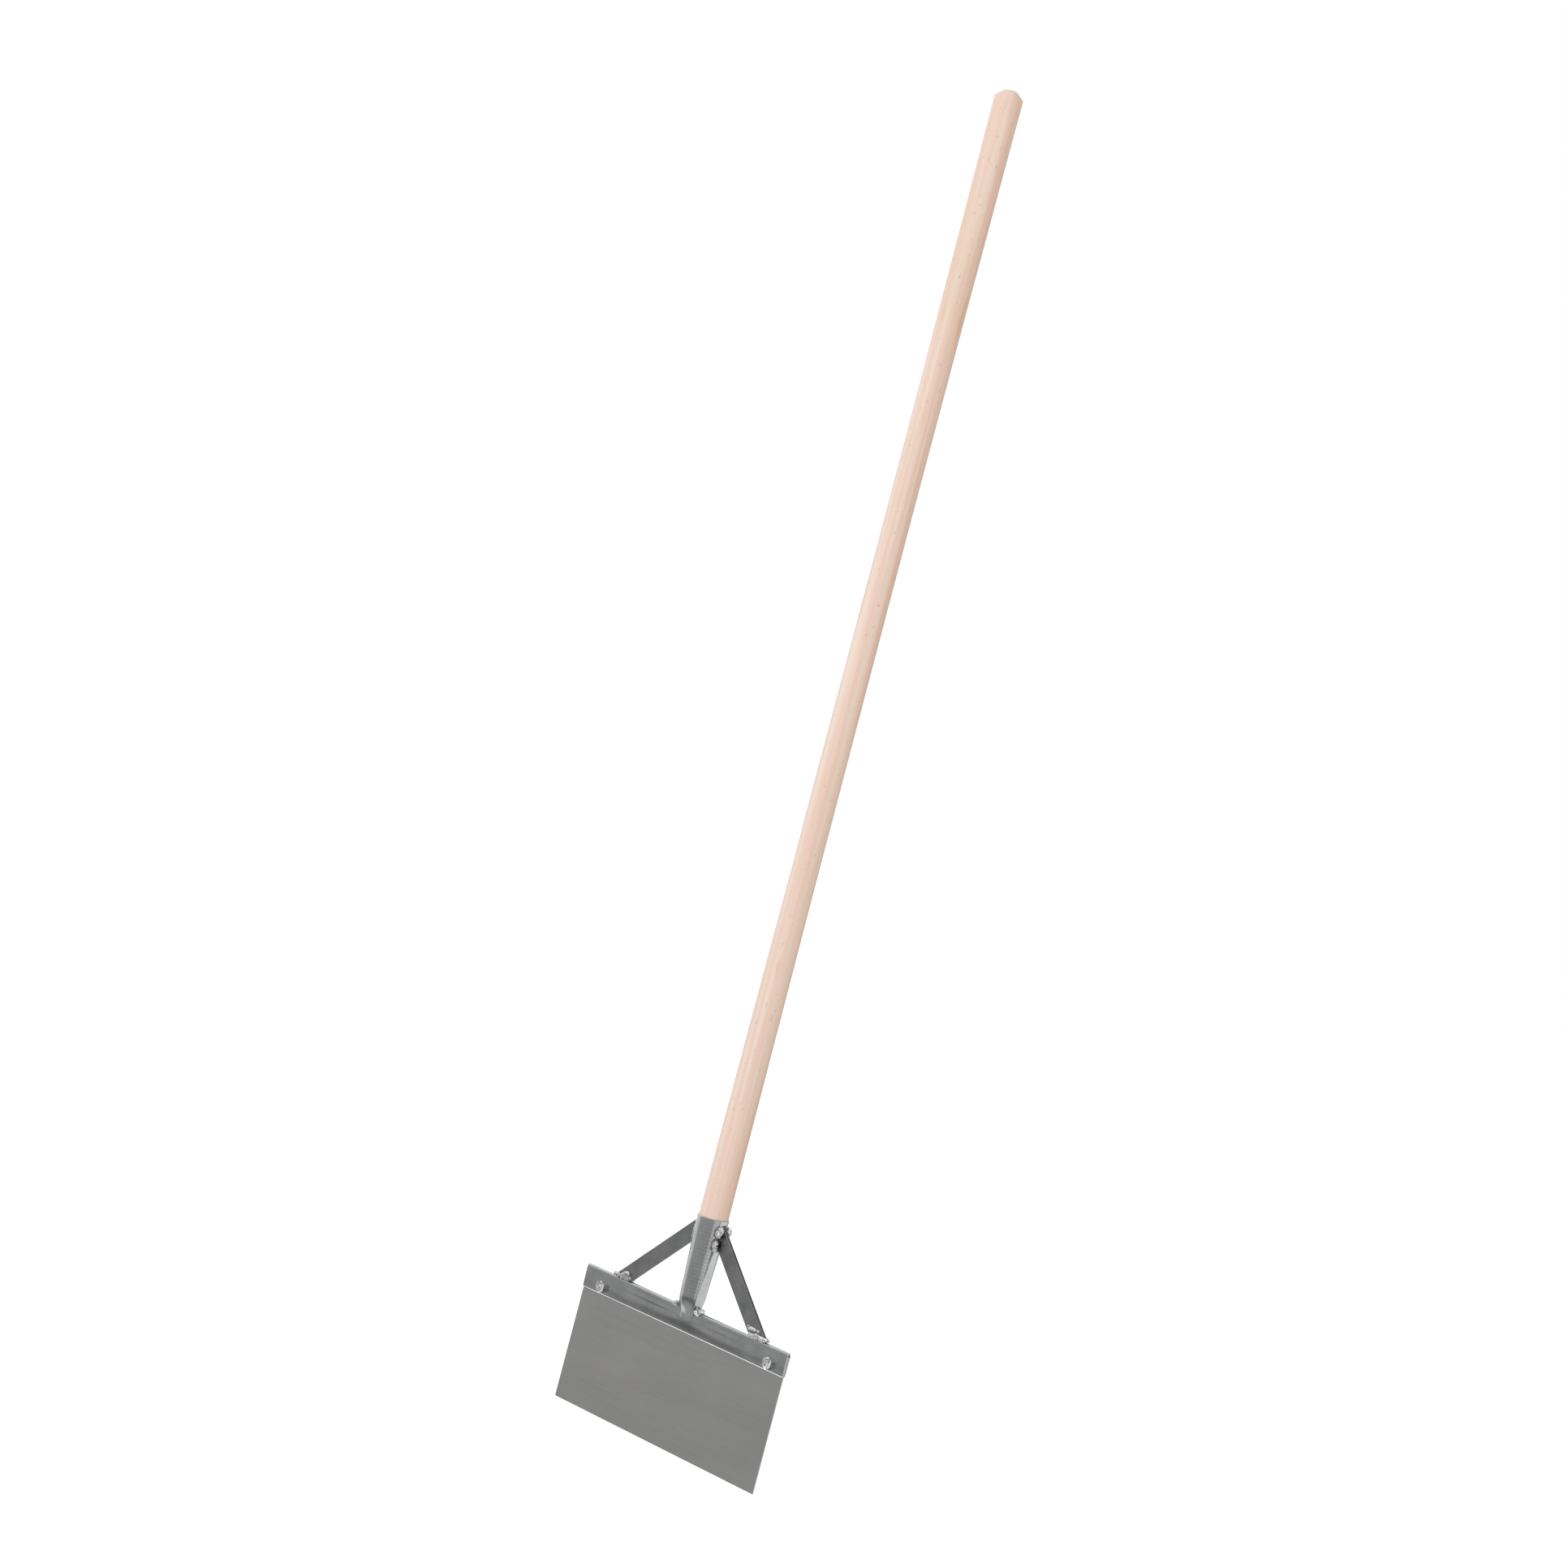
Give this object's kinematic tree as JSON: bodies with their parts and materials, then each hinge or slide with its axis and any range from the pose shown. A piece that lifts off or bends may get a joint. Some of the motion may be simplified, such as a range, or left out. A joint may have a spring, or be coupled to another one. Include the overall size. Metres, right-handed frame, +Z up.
{
  "type": "push scraper",
  "caption": "Long-handled push scraper: a flat wear blade bolted into a folded steel holder, with a braced socket and a turned wooden handle.",
  "frame": {"origin": "on the flat cutting edge of the blade, straight under the handle's axis", "axes": "+Z up the handle, +X along the blade to the right as seen from the front, front face towards -Y"},
  "size_m": [0.35, 0.0424, 1.692],
  "materials": {
    "galvanised_steel": "galvanised, satin",
    "blade_steel": "plain spring steel, matte",
    "zinc_fastener": "bright zinc plated",
    "weld_metal": "bright weld bead",
    "beech_wood": "sanded, bare"
  },
  "bodies": {
    "root": {"handle": "beech_wood", "blade": "blade_steel", "blade_holder": "galvanised_steel", "socket": "galvanised_steel", "brace_left": "galvanised_steel", "brace_right": "galvanised_steel", "bolt_left": "zinc_fastener", "bolt_right": "zinc_fastener", "nut_left": "zinc_fastener", "nut_right": "zinc_fastener", "washer_left": "zinc_fastener", "washer_right": "zinc_fastener", "handle_screw": "zinc_fastener", "weld_foot_left_front": "weld_metal", "weld_foot_left_back": "weld_metal", "weld_foot_right_front": "weld_metal", "weld_foot_right_back": "weld_metal", "weld_top_left_front": "weld_metal", "weld_top_left_back": "weld_metal", "weld_top_right_front": "weld_metal", "weld_top_right_back": "weld_metal", "weld_socket_left": "weld_metal", "weld_socket_right": "weld_metal", "weld_lip_front": "weld_metal", "weld_lip_back": "weld_metal"}
  },
  "joints": []
}
